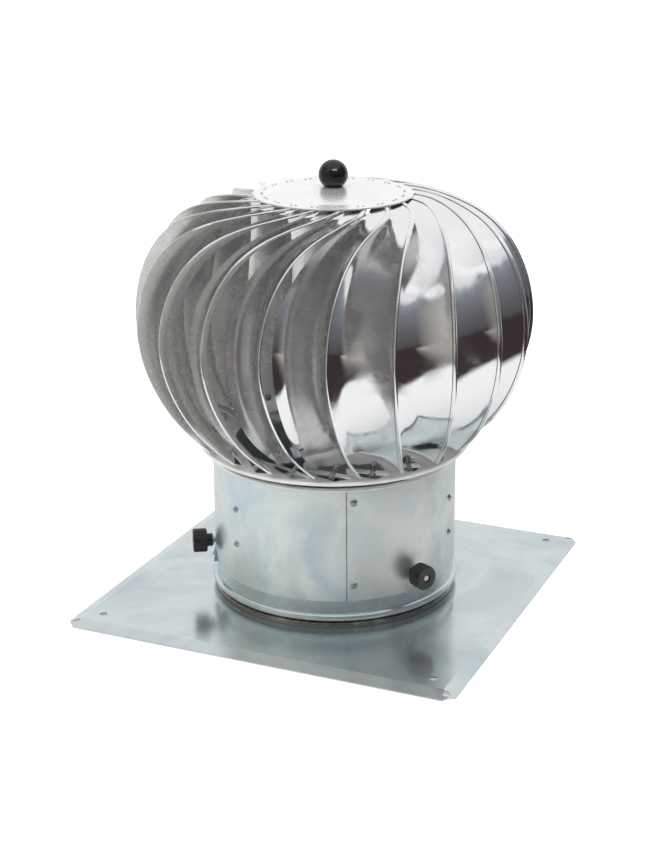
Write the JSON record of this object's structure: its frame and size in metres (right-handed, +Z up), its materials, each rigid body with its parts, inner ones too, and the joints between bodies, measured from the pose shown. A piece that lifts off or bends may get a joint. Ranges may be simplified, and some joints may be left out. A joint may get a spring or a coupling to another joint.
{
  "type": "roof turbine ventilator",
  "caption": "Wind-driven roof turbine ventilator: vaned aluminium rotor on a steel neck clamped to a square roof plate with a round duct collar.",
  "frame": {"origin": "centre of the underside of the roof plate, on the rotor's axis", "axes": "+Z up along the rotor's axis, X and Y along the plate's edges"},
  "size_m": [0.33, 0.33, 0.359],
  "materials": {
    "plate": "satin",
    "galvanised": "satin",
    "fastener": "satin",
    "bearing": "gloss",
    "blade": "gloss",
    "knob": "matte",
    "ball": "gloss"
  },
  "bodies": {
    "base": {"base_plate": "plate", "base_collar": "galvanised", "clamp_nuts": "fastener"},
    "head": {"neck_sleeve": "galvanised", "seam_rivets": "fastener", "neck_spider": "galvanised", "spider_rivets": "fastener", "axle": "fastener", "axle_nuts": "fastener", "lower_inner_race": "bearing", "upper_inner_race": "bearing"},
    "rotor": {"blade_01": "blade", "blade_02": "blade", "blade_03": "blade", "blade_04": "blade", "blade_05": "blade", "blade_06": "blade", "blade_07": "blade", "blade_08": "blade", "blade_09": "blade", "blade_10": "blade", "blade_11": "blade", "blade_12": "blade", "blade_13": "blade", "blade_14": "blade", "blade_15": "blade", "blade_16": "blade", "blade_17": "blade", "blade_18": "blade", "blade_19": "blade", "blade_20": "blade", "bottom_ring": "blade", "blade_rivets": "blade", "top_disc": "blade", "ball_knob": "ball", "hub_tube": "galvanised", "hub_cap": "fastener", "lower_outer_race": "bearing", "upper_outer_race": "bearing", "rotor_arms": "galvanised", "rotor_arm_rivets": "fastener"},
    "lower_ball_set": {"lower_balls": "bearing"},
    "upper_ball_set": {"upper_balls": "bearing"},
    "clamp_slide_1": {"clamp_washer_1": "fastener"},
    "clamp_1": {"clamp_screw_1": "fastener", "clamp_knob_1": "knob"},
    "clamp_slide_2": {"clamp_washer_2": "fastener"},
    "clamp_2": {"clamp_screw_2": "fastener", "clamp_knob_2": "knob"},
    "clamp_slide_3": {"clamp_washer_3": "fastener"},
    "clamp_3": {"clamp_screw_3": "fastener", "clamp_knob_3": "knob"}
  },
  "joints": [
    {"name": "head_lift", "type": "slide", "parent": "base", "child": "head", "axis": [0, 0, 1], "range_m": [0, 0.022]},
    {"name": "rotor_spin", "type": "hinge", "parent": "head", "child": "rotor", "pos_m": [0, 0, 0.3], "axis": [0, 0, 1], "continuous": true},
    {"name": "lower_ball_orbit", "type": "hinge", "parent": "head", "child": "lower_ball_set", "pos_m": [0, 0, 0.1566], "axis": [0, 0, 1], "continuous": true},
    {"name": "upper_ball_orbit", "type": "hinge", "parent": "head", "child": "upper_ball_set", "pos_m": [0, 0, 0.3006], "axis": [0, 0, 1], "continuous": true},
    {"name": "clamp_advance_1", "type": "slide", "parent": "base", "child": "clamp_slide_1", "axis": [0.8763, -0.4818, 0], "range_m": [-0.00125, 0.00325]},
    {"name": "clamp_turn_1", "type": "hinge", "parent": "clamp_slide_1", "child": "clamp_1", "pos_m": [0.09639, -0.05299, 0.0441], "axis": [0.8763, -0.4818, 0], "range_deg": [-540, 1440]},
    {"name": "clamp_advance_2", "type": "slide", "parent": "base", "child": "clamp_slide_2", "axis": [-0.0209, 0.9998, 0], "range_m": [-0.00125, 0.00325]},
    {"name": "clamp_turn_2", "type": "hinge", "parent": "clamp_slide_2", "child": "clamp_2", "pos_m": [-0.0023, 0.10998, 0.0441], "axis": [-0.0209, 0.9998, 0], "range_deg": [-540, 1440]},
    {"name": "clamp_advance_3", "type": "slide", "parent": "base", "child": "clamp_slide_3", "axis": [-0.8554, -0.518, 0], "range_m": [-0.00125, 0.00325]},
    {"name": "clamp_turn_3", "type": "hinge", "parent": "clamp_slide_3", "child": "clamp_3", "pos_m": [-0.09409, -0.05698, 0.0441], "axis": [-0.8554, -0.518, 0], "range_deg": [-540, 1440]}
  ],
  "couplings": [
    {"joint": "lower_ball_orbit", "follows": "rotor_spin", "ratio": 0.632},
    {"joint": "upper_ball_orbit", "follows": "rotor_spin", "ratio": 0.632},
    {"joint": "clamp_advance_1", "follows": "clamp_turn_1", "m_per_rad": 0.00012732},
    {"joint": "clamp_advance_2", "follows": "clamp_turn_2", "m_per_rad": 0.00012732},
    {"joint": "clamp_advance_3", "follows": "clamp_turn_3", "m_per_rad": 0.00012732}
  ]
}
